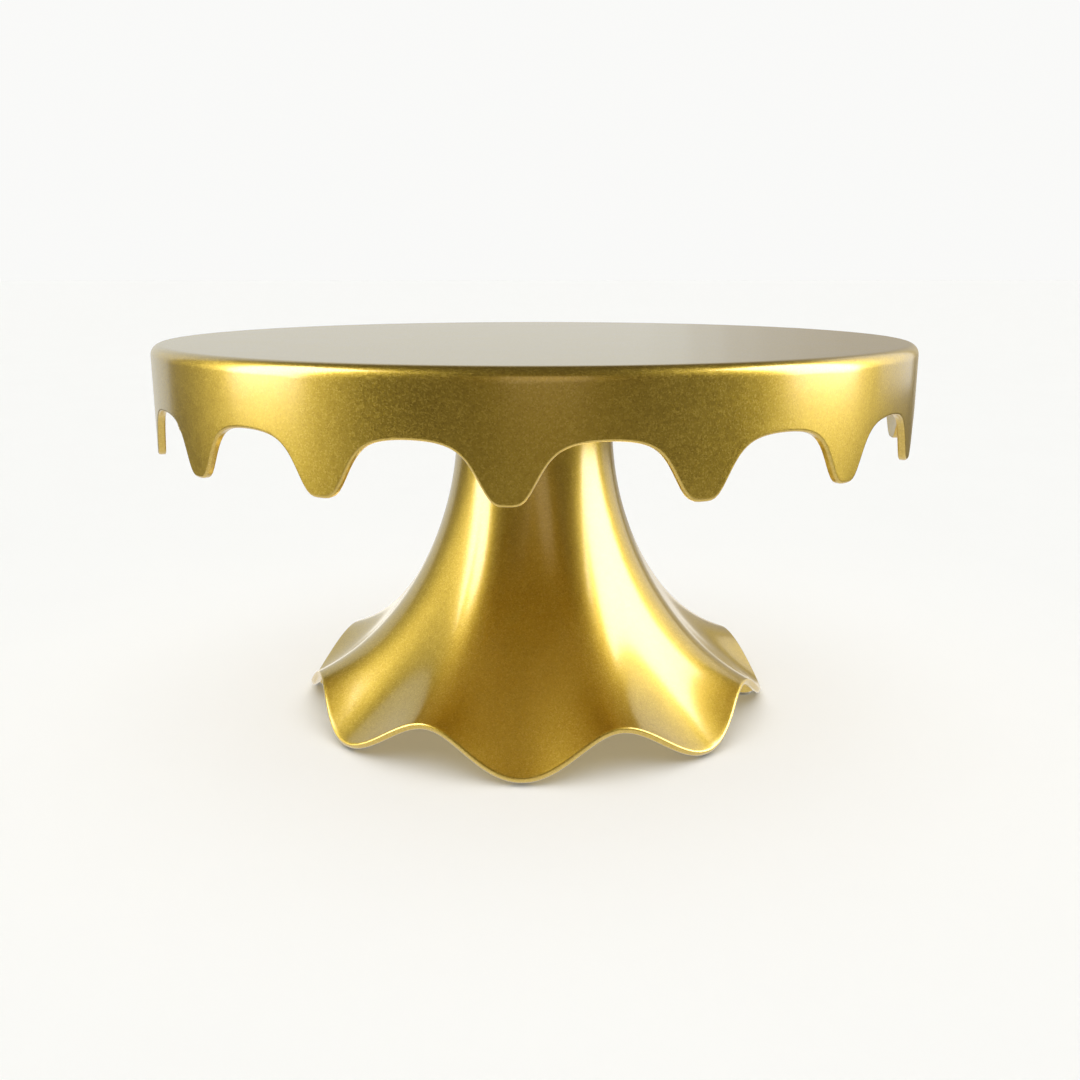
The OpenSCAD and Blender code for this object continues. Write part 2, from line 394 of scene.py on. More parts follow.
def makeBrass():
    brass = Finish("turnedBrass", Metallic=1.0)
    lines = brass.node("ShaderNodeTexWave", {"wave_type": "BANDS", "bands_direction": "Z"},
                       {"Vector": brass.place, "Scale": 1500.0, "Distortion": 0.6, "Detail": 2.0})["Fac"]
    cloud = brass.noise(260.0, 3.0)["Fac"]
    return brass.done(
        Base_Color=brass.blend(brass.levels(cloud, 0.4, 0.75), (0.80, 0.62, 0.28), (0.52, 0.37, 0.16)),
        Roughness=0.24 + cloud * 0.16,
        Normal=brass.bump(lines, 0.006 * mm, 0.5),
    )


def makeZinc():
    zinc = Finish("zincSteel", Metallic=1.0)
    spangle = zinc.cells(520.0)["Color"]
    tone = zinc.node("ShaderNodeSeparateColor", None, {0: spangle})["Red"]
    rub = zinc.noise(90.0, 4.0)["Fac"]
    colour = zinc.blend(tone * 0.35, (0.66, 0.67, 0.69), (0.80, 0.81, 0.84))
    colour = zinc.blend(zinc.levels(rub, 0.56, 0.72, 0.0, 0.4), colour, (0.46, 0.45, 0.43))
    return zinc.done(
        Base_Color=colour,
        Roughness=0.27 + tone * 0.10 + rub * 0.12,
        Normal=zinc.bump(zinc.noise(1700.0, 2.0)["Fac"], 0.006 * mm, 0.6),
    )


def makeSoft(name, light, dark, perMetre, roughness, depth, **fixed):
    # moulded plastic, rubber or silicone: a fine stipple and a faint cloud in the colour
    soft = Finish(name, **fixed)
    cloud = soft.noise(160.0, 3.0)["Fac"]
    stipple = soft.noise(perMetre, 2.0, 0.6)["Fac"]
    return soft.done(
        Base_Color=soft.blend(soft.levels(cloud, 0.35, 0.7), dark, light),
        Roughness=roughness + (stipple - 0.5) * 0.16 + (cloud - 0.5) * 0.1,
        Normal=soft.bump(stipple, depth * mm, 0.7),
    )


gold = makeGoldPaint()
brassFinish = makeBrass()
zincFinish = makeZinc()
knobFinish = makeSoft("knobPlastic", (0.030, 0.030, 0.033), (0.018, 0.018, 0.020), 1500.0, 0.46, 0.03)
gasketFinish = makeSoft("gasketRubber", (0.040, 0.040, 0.042), (0.022, 0.022, 0.023), 2200.0, 0.72, 0.02)
padFinish = makeSoft("padSilicone", (0.62, 0.62, 0.59), (0.52, 0.52, 0.50), 900.0, 0.42, 0.01,
                     Subsurface_Weight=0.25, Subsurface_Radius=(0.004, 0.004, 0.0035), Subsurface_Scale=0.5)
print("finishes made")

plateLow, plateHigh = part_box("plate")
plate = {
    "radius": plateHigh[0],
    "height": plateHigh[2],
    "topThickness": 3.2 * mm,
    "skirtThickness": 2.8 * mm,
    "rimRadius": 4.0 * mm,
    "dripCount": 16,
    "dripDepth": plateHigh[2] - plateLow[2],
    "archDepth": 21.5 * mm,
    "dripBreadth": 0.52,
    "dripSteepness": 3.7,
    "outerLip": 0.85 * mm,
    "innerLip": 0.55 * mm,
    "columnsPerDrip": 44,
}
underPlate = plate["height"] - plate["topThickness"]


def dripEdge(tree, angle):
    # height of the skirt's lower edge
    u = angle * tree.size("Drip Count") / (2 * math.pi)
    u = u.maths("PINGPONG", u, 0.5) * math.pi
    breadth, steep = tree.size("Drip Breadth"), tree.size("Drip Steepness")
    bump = 1 / (1 + (sine(u) / breadth) ** steep)
    least = 1 / (1 + (1 / breadth) ** steep)
    share = (bump - least) / (1 - least)
    depth, arch = tree.size("Drip Depth"), tree.size("Arch Depth")
    return tree.size("Height") - arch - (depth - arch) * share


def makePlateSkin():
    p = plate
    tree = ShapeTree("drippingPlate", {
        "Radius": p["radius"], "Height": p["height"], "Top Thickness": p["topThickness"],
        "Skirt Thickness": p["skirtThickness"], "Rim Radius": p["rimRadius"], "Drip Count": p["dripCount"],
        "Drip Depth": p["dripDepth"], "Arch Depth": p["archDepth"], "Drip Breadth": p["dripBreadth"],
        "Drip Steepness": p["dripSteepness"], "Outer Lip": p["outerLip"], "Inner Lip": p["innerLip"], "Finish": gold,
    })
    # top, rim, skirt outside, outer lip, cut edge, inner lip, skirt inside, inside of the rim, underside
    angle, _, c = tree.aroundAndAlong(9)
    quarter = [part * (math.pi / 2) for part in c]
    radius, height, rim = tree.size("Radius"), tree.size("Height"), tree.size("Rim Radius")
    skirt, outerLip, innerLip = tree.size("Skirt Thickness"), tree.size("Outer Lip"), tree.size("Inner Lip")
    under = height - tree.size("Top Thickness")
    innerRim = rim - skirt

    edge = dripEdge(tree, angle)
    reach = 0.0015
    slope = (dripEdge(tree, angle + reach) - dripEdge(tree, angle - reach)) / (2 * reach * radius)
    steep = (slope * slope + 1) ** 0.5
    lift = outerLip * (1 - sine(quarter[3])) + innerLip * (1 - cosine(quarter[5]))
    depth = outerLip * (1 - cosine(quarter[3])) + (skirt - outerLip - innerLip) * c[4] + innerLip * sine(quarter[5])
    down = c[2] - c[6]                                # 0 at the rim, 1 at the drips
    side = (height - rim) + (under - innerRim - height + rim) * c[4]
    r = ((radius - rim) * c[0] + rim * sine(quarter[1]) - depth - innerRim * (1 - cosine(quarter[7]))
         - (radius - skirt - innerRim) * c[8])
    z = (height - rim * (1 - cosine(quarter[1])) + (edge + lift / steep - side) * down
         + (under - innerRim - height + rim) * c[4] + innerRim * sine(quarter[7]))
    turn = angle - down * lift * slope / steep / radius
    tree.finish(tree.bent(r * sine(turn), 0 - r * cosine(turn), z))

    near = [0.03, 0.2, 0.4, 0.6, 0.76, 0.88, 0.95, 0.985, 1.0]
    sheet = flatSheet("plate_moulding", p["dripCount"] * p["columnsPerDrip"], stations([
        [0.25, 0.5, 0.75, 0.92, 0.985, 0.996, 1.0], 9, near, 5, [0.12, 0.88, 1.0], 4,
        [0.02, 0.1, 0.3, 0.55, 0.8, 0.96, 1.0], 4, [0.01, 0.1, 0.4, 0.7, 1.0],
    ]))
    return faceOut(tree.applyTo(sheet))


# ribs under the plate; heights are below the underside
ribs = {"count": 16, "thickness": 2.0, "inner": 34.6, "outer": 147.9, "innerHeight": 7.0, "outerHeight": 4.0,
        "root": 0.9, "ringRadius": 92.0, "ringHeight": 5.0}
collar = {"inside": 32.8, "outside": 35.2, "end": 139.8, "keyWidth": 5.0, "keyReach": 30.9, "landing": 29.9,
          "landingEnd": 147.8, "bossRadius": 9.0, "bossEnd": 142.8, "boreRadius": 6.0, "boreTop": 150.8}


def ribOutline(height):
    # half of a rib's section from the root down to its rounded edge: distance from its middle, depth below the plate
    t, root = ribs["thickness"] / 2, ribs["root"]
    bend = [(t + root * (1 - math.sin(a)), root * (1 - math.cos(a))) for a in np.linspace(0, math.pi / 2, 5)]
    tip = [(t - 0.6 * (1 - math.cos(a)), height - 0.6 * (1 - math.sin(a))) for a in np.linspace(0, math.pi / 2, 4)]
    return [(t + root, -0.6)] + bend + tip


def repeated(name, piece, count):
    # copies of a piece, evenly spaced round the stand
    tree = ShapeTree(name, {"Count": count, "Finish": gold})
    spots = tree.node("GeometryNodeMeshLine", None, {"Count": tree.size("Count"), "Offset": (0, 0, 0)})
    turn = tree.node("GeometryNodeInputIndex") * (2 * math.pi) / tree.size("Count")
    spread = tree.node("GeometryNodeInstanceOnPoints", None, {
        "Points": spots, "Instance": tree.entry["Geometry"], "Rotation": tree.vector(0, 0, turn)})
    tree.finish(spread)
    return faceOut(tree.applyTo(piece))


def makeRibs():
    # one rib, repeated round the stand
    rows = np.linspace(0, 1, 14)
    sections = []
    for share in rows:
        half = ribOutline(ribs["innerHeight"] + (ribs["outerHeight"] - ribs["innerHeight"]) * share)
        y = -(ribs["inner"] + (ribs["outer"] - ribs["inner"]) * share)
        loop = [(x, d) for x, d in half] + [(-x, d) for x, d in reversed(half)]
        sections.append([(x * mm, y * mm, underPlate - d * mm) for x, d in loop])
    n = len(sections[0])
    points = [p for section in sections for p in section]
    faces = [(s * n + i, s * n + (i + 1) % n, (s + 1) * n + (i + 1) % n, (s + 1) * n + i)
             for s in range(len(rows) - 1) for i in range(n)]
    faces += [tuple(range(n)), tuple(reversed(range(len(points) - n, len(points))))]
    rib = faceOut(newObject("rib", points, faces))
    return repeated("ribsAround", rib, ribs["count"])


def makePlate():
    skin = makePlateSkin()
    under = underPlate / mm
    top = under + 0.6
    t, root, ring = ribs["thickness"] / 2, ribs["root"], ribs["ringRadius"]
    half = ribOutline(ribs["ringHeight"])
    ringCorners = [(ring + x, under - d, 0) for x, d in half] + [(ring - x, under - d, 0) for x, d in reversed(half)]
    ringRib = turned("ringRib", ringCorners, 192)
    c = collar
    wall = turned("collarWall", [
        (c["inside"], top, 0), (c["inside"], c["end"], 0.5), (c["outside"], c["end"], 0.6),
        (c["outside"], under - root, 0.8), (c["outside"] + root, under, 0), (c["outside"] + root, top, 0)], 192)
    boss = turned("boss", [(0, top, 0), (0, c["bossEnd"], 0), (c["bossRadius"], c["bossEnd"], 0.5),
                           (c["bossRadius"], top, 0)], 96)
    landing = turned("landing", [(0, top, 0), (0, c["landingEnd"], 0), (c["landing"], c["landingEnd"], 0.4),
                                 (c["landing"], top, 0)], 144)
    bore = turned("bore", [(0, c["boreTop"], 0), (0, c["bossEnd"] - 1, 0), (c["boreRadius"], c["bossEnd"] - 1, 0),
                           (c["boreRadius"], c["boreTop"], 0)], 96)
    w = c["keyWidth"] / 2
    keys = [block(f"key{side}", (min(side * c["keyReach"], side * (c["inside"] + 1)), -w, c["end"]),
                  (max(side * c["keyReach"], side * (c["inside"] + 1)), w, top), 0.35) for side in (1, -1)]
    carve(skin, ("UNION", makeRibs()), ("UNION", ringRib), ("UNION", wall), ("UNION", keys[0]), ("UNION", keys[1]),
          ("UNION", landing), ("UNION", boss), ("DIFFERENCE", bore))
    return give(faceOut(skin), "plate", gold, "gold_paint", "plate")


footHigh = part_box("pedestal")[1]
foot = {
    "lobes": 8,
    "neckRadius": 32.5 * mm,
    "webTop": footHigh[2],
    "webThickness": 4.0 * mm,
    "holeRadius": 9.4 * mm,
    "neckLength": 28.0 * mm,
    "neckPull": 37.0 * mm,
    "wall": 2.7 * mm,
    "lobeRadius": 99.0 * mm, "lobeHeight": 3.0 * mm, "lobeSlope": math.radians(33), "lobePull": 60.0 * mm,
    "archRadius": 94.0 * mm, "archHeight": 18.0 * mm, "archSlope": math.radians(20), "archPull": 44.0 * mm,
    "hemLip": 1.0 * mm,
    "neckEdge": 0.6 * mm,
    "fillet": 2.5 * mm,
    "holeEdge": 0.4 * mm,
    "columnsPerLobe": 64,
}


def bezier(p, t):
    s = 1 - t
    return s * s * s * p[0] + 3 * (s * s * t) * p[1] + 3 * (s * t * t) * p[2] + t * t * t * p[3]


def bezierRate(p, t):
    s = 1 - t
    return 3 * (s * s * (p[1] - p[0]) + 2 * (s * t) * (p[2] - p[1]) + t * t * (p[3] - p[2]))


def flare(get, t, angle):
    # point, outward normal and downhill direction on the foot's outside; get gives a size by its name
    neck, top = get("Neck Radius"), get("Flare Top")
    sides = []
    for kind in ("Lobe", "Arch"):
        r, z, slope, pull = (get(f"{kind} {what}") for what in ("Radius", "Height", "Slope", "Pull"))
        sides.append(((neck, neck, r - pull * cosine(slope), r),
                      (top, top - get("Neck Pull"), z + pull * sine(slope), z)))
    wave = (1 - cosine(angle * get("Lobes"))) / 2
    waveRate = sine(angle * get("Lobes")) * get("Lobes") / 2
    values = []
    for axis in (0, 1):
        lobe, arch = sides[0][axis], sides[1][axis]
        a, b = bezier(lobe, t), bezier(arch, t)
        da, db = bezierRate(lobe, t), bezierRate(arch, t)
        values.append((a + (b - a) * wave, da + (db - da) * wave, (b - a) * waveRate))
    (r, rDown, rRound), (z, zDown, zRound) = values
    s, c = sine(angle), cosine(angle)
    down = unit((rDown * s, 0 - rDown * c, zDown))
    around = (rRound * s + r * c, r * s - rRound * c, zRound)
    normal = unit(cross(down, around))
    return (r * s, 0 - r * c, z), normal, down


footSizes = {
    "Lobes": foot["lobes"], "Neck Radius": foot["neckRadius"], "Flare Top": foot["webTop"] - foot["neckLength"],
    "Neck Pull": foot["neckPull"],
    "Lobe Radius": foot["lobeRadius"], "Lobe Height": foot["lobeHeight"], "Lobe Slope": foot["lobeSlope"],
    "Lobe Pull": foot["lobePull"],
    "Arch Radius": foot["archRadius"], "Arch Height": foot["archHeight"], "Arch Slope": foot["archSlope"],
    "Arch Pull": foot["archPull"],
    "Web Top": foot["webTop"], "Web Thickness": foot["webThickness"], "Hole Radius": foot["holeRadius"],
    "Wall": foot["wall"], "Hem Lip": foot["hemLip"], "Neck Edge": foot["neckEdge"], "Fillet": foot["fillet"],
    "Hole Edge": foot["holeEdge"], "Finish": gold,
}


def makeFootSkin():
    tree = ShapeTree("flaredFoot", footSizes)
    get = tree.size
    # web top, neck edge, neck, flare, hem lip, hem edge, inner lip, flare inside, neck inside, fillet, web under,
    # hole edge, hole, hole edge
    angle, along, c = tree.aroundAndAlong(14)
    quarter = [part * (math.pi / 2) for part in c]
    lip, wall, edge, fillet, hole = get("Hem Lip"), get("Wall"), get("Neck Edge"), get("Fillet"), get("Hole Edge")
    neck, top, webTop, thick = get("Neck Radius"), get("Flare Top"), get("Web Top"), get("Web Thickness")
    holeRadius = get("Hole Radius")
    atHem = (along > 3.9995) * (along < 7.0005)
    point, normal, down = flare(get, c[3] - c[7], angle)
    depth = lip * (1 - cosine(quarter[4])) + (wall - 2 * lip) * c[5] + lip * sine(quarter[6])
    back = 0 - lip * atHem * (2 - sine(quarter[4]) - cosine(quarter[6]))
    neckIn = neck - wall
    outward = (edge * sine(quarter[1]) - edge - (neck - edge - holeRadius - hole) * (1 - c[0])
               - fillet * (1 - cosine(quarter[9])) - (neckIn - fillet - holeRadius - hole) * c[10]
               - hole * sine(quarter[11]) + hole * (1 - cosine(quarter[13])))
    up = ((webTop - edge - top) * (1 - c[2]) + edge * cosine(quarter[1])
          + (webTop - thick - fillet - top) * c[8] + fillet * sine(quarter[9])
          + hole * (1 - cosine(quarter[11])) + (thick - 2 * hole) * c[12] + hole * sine(quarter[13]))
    x, y, z = (p - depth * n + back * d for p, n, d in zip(point, normal, down))
    tree.finish(tree.bent(x + outward * sine(angle), y - outward * cosine(angle), z + up))

    outside = [i / 38 for i in range(1, 38)] + [0.986, 1.0]
    inside = [0.014] + [i / 26 for i in range(1, 27)]
    sheet = flatSheet("pedestal_moulding", foot["lobes"] * foot["columnsPerLobe"], stations([
        [0.02, 0.5, 0.98, 1.0], 4, [0.02, 0.25, 0.5, 0.75, 1.0], outside, 5, [0.1, 0.9, 1.0], 5, inside,
        [0.3, 0.6, 0.97, 1.0], 5, [0.03, 0.5, 0.97, 1.0], 3, [0.05, 0.95, 1.0], 3,
    ]))
    return faceOut(tree.applyTo(sheet))


pads = {"radius": 4.2, "thickness": 1.3, "rim": 0.9, "place": 0.95, "edge": 0.35}


def padPlace():
    # middle of the wall over a pad, and the slope of the wall there
    def at(t):
        point, normal, down = flare(footSizes.get, t, 0.0)
        return [p - foot["wall"] / 2 * n for p, n in zip(point, normal)]
    middle, above = at(pads["place"]), at(pads["place"] - 0.02)
    return middle[1], middle[2], (above[2] - middle[2]) / (above[1] - middle[1])


def makeSeats():
    # a post under each lobe, cut off along the middle of the wall
    y0, z0, rise = padPlace()
    post = turned("padSeat", [(0, 10, 0), (0, pads["thickness"], 0), (pads["radius"] + pads["rim"],
                  pads["thickness"], 0.35), (pads["radius"] + pads["rim"], 10, 0)], 64)
    for vertex in post.data.vertices:
        vertex.co.y += y0
        if vertex.co.z > 9 * mm:
            vertex.co.z = z0 + (vertex.co.y - y0) * rise
    return repeated("seatsAround", post, foot["lobes"])


def makeFoot():
    skin = makeFootSkin()
    top = foot["webTop"] / mm
    notches = [block(f"notch{side}", (min(side * 30.5, side * 34), -2.9, top - 6.4),
                     (max(side * 30.5, side * 34), 2.9, top + 1), 0.3) for side in (1, -1)]
    carve(skin, ("UNION", makeSeats()), ("DIFFERENCE", notches[0]), ("DIFFERENCE", notches[1]))
    return give(faceOut(skin), "foot", gold, "gold_paint", "pedestal")


def makePads():
    y0 = padPlace()[0]
    t, e = pads["thickness"], pads["edge"]
    for i in range(foot["lobes"]):
        pad = turned(f"pad_{i + 1}", [(0, t, 0), (0, 0.12, 0), (1.6, 0.12, 0.1), (2.0, 0, 0.2),
                                      (pads["radius"] - 0.1, 0, e), (pads["radius"], t, 0.15)], 56)
        placed(pad, Matrix.Rotation(i * 2 * math.pi / foot["lobes"], 4, "Z") @ Matrix.Translation((0, y0, 0)))
        give(pad, "foot", padFinish, "pad_silicone", f"foot_pad_{i + 1}")


washerLow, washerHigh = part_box("washer")
knobLow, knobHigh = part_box("wing_knob")
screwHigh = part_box("clamp_screw")[1]
screw = {"radius": 4.0 * mm, "pitch": 1.25 * mm, "threadDepth": 0.62 * mm, "tip": screwHigh[2],
         "chamfer": 0.9 * mm, "threadStart": 131.0 * mm,
         "headTop": 130.6, "headHeight": 5.3, "acrossFlats": 13.0}      # the head's in millimetres


def hexBar(name, corner, low, high):
    # an upright six-sided bar, with sizes in millimetres
    hexagon = [(corner * math.cos(a) * mm, corner * math.sin(a) * mm) for a in np.arange(6) * math.pi / 3]
    points = [(x, y, z * mm) for z in (low, high) for x, y in hexagon]
    faces = [tuple(reversed(range(6))), tuple(range(6, 12))]
    faces += [(i, (i + 1) % 6, 6 + (i + 1) % 6, 6 + i) for i in range(6)]
    return faceOut(newObject(name, points, faces))


def makeScrew():
    s = screw
    tree = ShapeTree("threadedShank", {
        "Radius": s["radius"], "Pitch": s["pitch"], "Thread Depth": s["threadDepth"], "Tip": s["tip"],
        "Start": s["threadStart"], "Chamfer": s["chamfer"], "Root": s["headTop"] * mm - 0.6 * mm,
        "Finish": zincFinish,
    })
    # foot of the shank, plain neck, thread, tip
    angle, _, c = tree.aroundAndAlong(4)
    radius, tip, start, root = tree.size("Radius"), tree.size("Tip"), tree.size("Start"), tree.size("Root")
    z = root + (start - root) * c[1] + (tip - start) * c[2]
    wind = z / tree.size("Pitch") + angle / (2 * math.pi)
    tooth = wind.maths("PINGPONG", wind, 0.5) * 2            # 0 at a crest, 1 in a root
    tooth = tooth.maths("SMOOTH_MIN", tooth.maths("SMOOTH_MAX", tooth * 1.25 - 0.12, 0.0, 0.12), 0.95, 0.12)
    run = tooth.maths("MULTIPLY", (z - start) / (1.5 * mm), 1.0, clamp=True)
    cone = (tip - z) / tree.size("Chamfer")
    point = cone.maths("MINIMUM", cone, 1.0)
    cut = tooth * tree.size("Thread Depth") * run
    taper = (1 - point) * tree.size("Chamfer")
    r = (radius - cut.maths("MAXIMUM", cut, taper)) * c[0] * (1 - c[3])
    tree.finish(tree.bent(r * sine(angle), 0 - r * cosine(angle), z))
    rows = [1, 2, int((s["tip"] - s["threadStart"]) / s["pitch"] * 14), [0.5, 1.0]]
    shank = faceOut(tree.applyTo(flatSheet("clamp_screw_moulding", 56, stations(rows))), 60)

    low, high, flat = s["headTop"] - s["headHeight"], s["headTop"], s["acrossFlats"] / 2
    corner = flat / math.cos(math.pi / 6)
    head = hexBar("head", corner, low, high)
    cone = turned("headCone", [(0, high + 0.01, 0), (0, low - 0.01, 0), (flat - 0.5, low - 0.01, 0.2),
                               (corner + 0.05, low + 0.7, 0.1), (corner + 0.05, high - 0.25, 0.1),
                               (flat + 0.1, high + 0.01, 0)], 96)
    dish = turned("headDish", [(0, low + 0.25, 0), (0, low - 1, 0), (4.6, low - 1, 0), (4.3, low + 0.25, 0.2)], 64)
    carve(head, ("INTERSECT", cone), ("DIFFERENCE", dish))
    carve(shank, ("UNION", head))
    return give(faceOut(shank, 28), "clamp_screw", zincFinish, "zinc_steel", "clamp_screw")


washer = {"hole": 4.3, "radius": 16, "bottomEdge": 0.5, "topEdge": 0.3, "holeEdge": 0.25}


def makeWasher():
    w = washer
    low, high = washerLow[2] / mm, washerHigh[2] / mm
    ring = turned("washer_ring", [(w["hole"], low, w["holeEdge"]), (w["radius"], low, w["bottomEdge"]),
                                  (w["radius"], high, w["topEdge"]), (w["hole"], high, w["holeEdge"])], 128)
    return give(ring, "washer", zincFinish, "zinc_steel", "washer")


insert = {"radius": 6.0, "bore": 4.05, "low": 142.8, "high": 150.8, "teeth": 44}


def makeInsert():
    # two knurled bands with a plain groove between, and a threaded bore
    i = insert
    tree = ShapeTree("knurledInsert", {
        "Radius": i["radius"] * mm, "Bore": i["bore"] * mm, "Low": i["low"] * mm, "High": i["high"] * mm,
        "Teeth": i["teeth"], "Pitch": screw["pitch"], "Finish": brassFinish,
    })
    # lower end, outside, upper end, bore
    angle, _, c = tree.aroundAndAlong(4)
    low, high, bore = tree.size("Low"), tree.size("High"), tree.size("Bore")
    z = low + (high - low) * (c[1] - c[3])
    band = c[1].maths("PINGPONG", c[1], 0.5)              # 0 at the ends, 0.5 in the middle
    groove = tree.node("ShaderNodeMapRange", {"interpolation_type": "SMOOTHSTEP"},
                       {"Value": band, "From Min": 0.40, "From Max": 0.44})
    lead = tree.node("ShaderNodeMapRange", {"interpolation_type": "SMOOTHSTEP"},
                     {"Value": band, "From Min": 0.0, "From Max": 0.09, "To Min": 1.0, "To Max": 0.0})
    tooth = sine(angle * tree.size("Teeth") + (z - low) * 900) * 0.5 + 0.5
    knurl = (tooth * 0.35 * mm) * (1 - groove) + groove * 0.6 * mm + lead * 0.5 * mm
    wind = z / tree.size("Pitch") + angle / (2 * math.pi)
    turnIn = wind.maths("PINGPONG", wind, 0.5) * (0.5 * mm)
    inner = bore + turnIn * (c[2] > 0.999) * (c[3] > 0.05) * (c[3] < 0.95)
    outer = tree.size("Radius") - knurl
    r = inner + (outer - inner) * (c[0] - c[2])
    tree.finish(tree.bent(r * sine(angle), 0 - r * cosine(angle), z))
    rows = [[0.5, 1.0], 44, [0.5, 1.0], 70]
    piece = faceOut(tree.applyTo(flatSheet("threaded_insert_brass", 264, stations(rows))), 40)
    return give(piece, "plate", brassFinish, "brass_insert", "threaded_insert")


knob = {"hubRadius": 9.5, "span": 40.0, "wing": 5.0, "tipRadius": 5.0, "voxel": 0.42}


def makeKnob():
    k = knob
    low, high = knobLow[2] / mm, knobHigh[2] / mm
    tall = high - low
    hub = turned("wing_knob_moulding", [
        (0, high, 0), (0, low, 0), (k["hubRadius"] - 0.1, low, 1.2), (k["hubRadius"], high - 3, 0.5),
        (k["hubRadius"] - 1.2, high, 0.8)], 96)
    tip = (k["span"] / 2 - k["tipRadius"], low + k["tipRadius"])
    root = (k["hubRadius"] - 1, low + tall * 0.62)
    outline = [(0, root[1]), (root[0], root[1])]
    for a in np.linspace(1.02, -math.pi / 2, 22):           # round the wing's tip
        outline.append((tip[0] + k["tipRadius"] * math.cos(a), tip[1] + k["tipRadius"] * math.sin(a)))
    outline.append((0, low))
    n = len(outline)
    wings = []
    for side in (1, -1):
        points = [(side * x * mm, y * mm, z * mm) for y in (-k["wing"] / 2, k["wing"] / 2) for x, z in outline]
        faces = [tuple(range(n)), tuple(reversed(range(n, 2 * n)))]
        faces += [(i, n + i, n + (i + 1) % n, (i + 1) % n) for i in range(n)]
        wings.append(faceOut(newObject(f"wing{side}", points, faces)))
    carve(hub, ("UNION", wings[0]), ("UNION", wings[1]))
    melt = hub.modifiers.new("melt", "REMESH")
    melt.mode, melt.voxel_size = "VOXEL", k["voxel"] * mm
    soften = hub.modifiers.new("soften", "SMOOTH")
    soften.factor, soften.iterations = 0.5, 9
    plain(hub)
    corner = (screw["acrossFlats"] / 2 + 0.05) / math.cos(math.pi / 6)
    pocket = hexBar("pocket", corner, low - 1, screw["headTop"])
    hole = turned("knobHole", [(0, high + 1, 0), (0, low - 1, 0), (4.05, low - 1, 0), (4.05, high + 1, 0)], 64)
    carve(faceOut(hub), ("DIFFERENCE", pocket), ("DIFFERENCE", hole))
    return give(faceOut(hub, 45), "clamp_screw", knobFinish, "knob_plastic", "wing_knob")


gasket = {"hole": 11.4, "grooves": (23.5, 17.5), "grooveHalf": 0.7, "grooveDepth": 0.35}


def makeGasket():
    low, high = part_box("gasket")
    inner, outer = gasket["hole"], high[0] / mm
    bottom, top = low[2] / mm, high[2] / mm
    half, depth = gasket["grooveHalf"], gasket["grooveDepth"]
    corners = [(inner, bottom, 0.3)]
    corners += [(outer, bottom, 0.3), (outer, top, 0.3)]
    for r in gasket["grooves"]:                              # shallow grooves in the upper face
        corners += [(r + half, top, 0.15), (r, top - depth, 0.2), (r - half, top, 0.15)]
    corners += [(inner, top, 0.3)]
    return give(turned("gasket_ring", corners, 144, 3), "foot", gasketFinish, "gasket_rubber", "gasket")


makePlate()
print("plate made")
makeFoot()
makePads()
print("foot made")
makeScrew()
makeWasher()
makeInsert()
makeKnob()
makeGasket()
print("clamp made")
standPieces = [o for o in scene.objects if o.type == "MESH" and not o.hide_render]


studio = {
    "white": (0.952, 0.952, 0.940),
    "floorGlow": 0.12,
    "ambient": 0.10,
    "roomColour": (1.0, 0.84, 0.60),
    "footSun": 2.7,                      # lights the floor, with the foot's shadow
    "plateSun": 0.32,                    # the same with the whole stand's shadow
}


def group(name, objects):
    made = bpy.data.collections.new(name)
    for obj in objects:
        made.objects.link(obj)
    return made


def makeFloor():
    floor = newObject("studioFloor", [(x * 30, y * 30, 0) for x, y in ((-1, -1), (1, -1), (1, 1), (-1, 1))],
                      [(0, 1, 2, 3)])
    paper = Finish("palePaper", Roughness=0.9, Specular_IOR_Level=0.0, Emission_Color=(0.83, 0.94, 1.0),
                   Emission_Strength=studio["floorGlow"])
    tone = paper.levels(paper.noise(9.0, 3.0)["Fac"], 0.3, 0.7)
    colour = paper.blend(tone, (0.800, 0.800, 0.788), (0.806, 0.806, 0.794))
    floor.data.materials.append(paper.done(Base_Color=colour))
    floor.visible_glossy = False
    return floor


def panel(name, azimuth, elevation, distance, wide, high, brightness, colour=(1, 1, 1), aim=(0, 0, 0.08)):
    # a soft panel facing the stand; azimuth 0 is in front and 90 on the right
    a, e = math.radians(azimuth), math.radians(elevation)
    way = Vector((math.sin(a) * math.cos(e), -math.cos(a) * math.cos(e), math.sin(e)))
    lamp = bpy.data.lights.new(name, "AREA")
    lamp.shape, lamp.size, lamp.size_y = "RECTANGLE", wide, high
    lamp.energy = brightness * math.pi * wide * high      # radiance times pi times area
    lamp.color = colour
    obj = bpy.data.objects.new(name, lamp)
    obj.location = Vector(aim) + way * distance
    obj.rotation_euler = way.to_track_quat("Z", "Y").to_euler()
    scene.collection.objects.link(obj)
    obj.light_linking.receiver_collection = onStand


floor = makeFloor()
onStand = group("litStand", standPieces)
onFloor = group("litFloor", [floor])
footOnly = group("shadowingFoot", [o for o in standPieces if o.name.startswith("pedestal")])

world = bpy.data.worlds.new("studioAir")
world.use_nodes = True
scene.world = world
air = Kit(world.node_tree)
air.tree.nodes.clear()
seen = air.node("ShaderNodeLightPath")["Is Camera Ray"]
back = air.node("ShaderNodeBackground", None, {"Color": studio["white"], "Strength": 1.0})
dim = air.node("ShaderNodeBackground", None, {"Color": studio["roomColour"], "Strength": studio["ambient"]})
air.node("ShaderNodeOutputWorld", None, {
    "Surface": air.node("ShaderNodeMixShader", None, {0: seen, 1: dim, 2: back})})


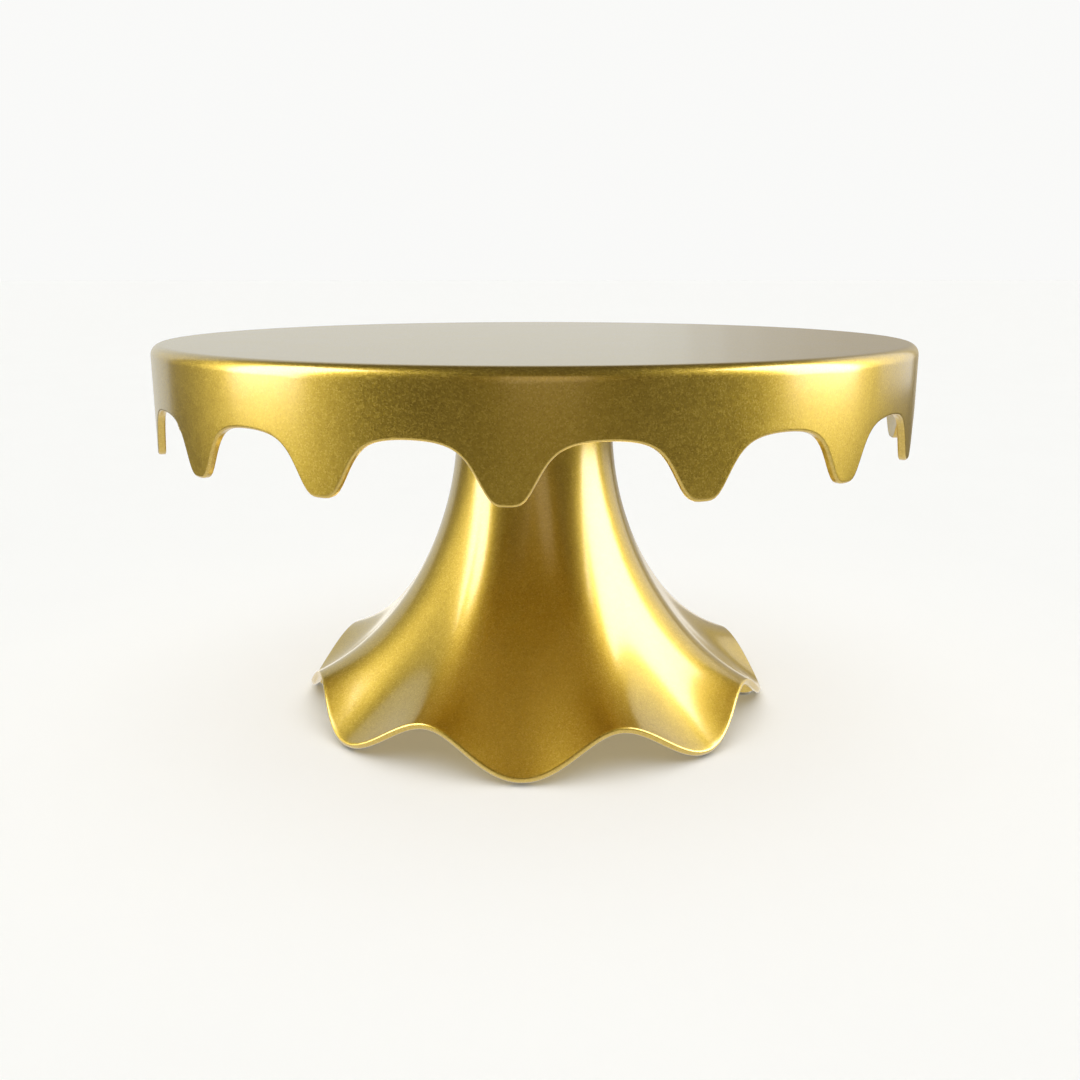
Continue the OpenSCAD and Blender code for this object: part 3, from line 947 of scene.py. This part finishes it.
def floorSun(name, strength, angle, blockers):
    # light from straight above that only the floor receives
    sun = bpy.data.lights.new(name, "SUN")
    sun.angle, sun.energy = math.radians(angle), strength
    obj = bpy.data.objects.new(name, sun)
    scene.collection.objects.link(obj)
    obj.light_linking.receiver_collection = onFloor
    obj.light_linking.blocker_collection = blockers


floorSun("footSun", studio["footSun"], 100, footOnly)
floorSun("plateSun", studio["plateSun"], 60, onStand)
panel("leftPanel", -74, 25, 2.0, 1.0, 2.1, 7.0)
panel("rightPanel", 88, 24, 2.0, 1.05, 2.0, 7.2)
panel("rightEdge", 128, 18, 2.0, 1.1, 1.6, 0.9)
panel("frontFill", 6, 14, 2.0, 0.8, 1.2, 0.8, studio["roomColour"])
# the backdrop: panels on top of each other that start one after the other, so that it fades at its right end
backdrop = (
    (150, 0.38, (1.0, 0.97, 0.90)), (166, 0.02), (168, 0.03), (170, 0.04), (172, 0.07), (174, 0.08), (176, 0.03),
)
for i, (start, brightness, *colour) in enumerate(backdrop):
    half = (237.5 - start) / 2
    panel(f"backPanel{i + 1}", start + half, 15, 3.0, 6 * math.tan(math.radians(half)), 3.0, brightness,
          *(colour or [(0.88, 1.03, 1.14)]))
panel("floorBounce", 0, -89.9, 0.0795, 0.75, 0.75, 0.85, (1.0, 0.98, 0.94))

camera = {"focal": 1112 / 1080 * 36, "distance": 463.9 * mm, "height": 178.3 * mm, "pitch": 13.4, "orbit": 3.0,
          "shiftX": 0.0049, "shiftY": -0.0013, "roll": -0.04}
lens = bpy.data.cameras.new("standCamera")
lens.sensor_width, lens.lens = 36, camera["focal"]
lens.shift_x, lens.shift_y = camera["shiftX"], camera["shiftY"]
lens.clip_start, lens.clip_end = 0.01, 100
view = bpy.data.objects.new("standCamera", lens)
orbit = math.radians(camera["orbit"])
view.location = (camera["distance"] * math.sin(orbit), -camera["distance"] * math.cos(orbit), camera["height"])
view.rotation_euler = (Matrix.Rotation(orbit, 3, "Z") @ Matrix.Rotation(math.radians(90 - camera["pitch"]), 3, "X")
                       @ Matrix.Rotation(math.radians(camera["roll"]), 3, "Z")).to_euler()
scene.collection.objects.link(view)
scene.camera = view
scene.view_settings.view_transform = "Standard"
scene.view_settings.look = "None"
print("studio made")
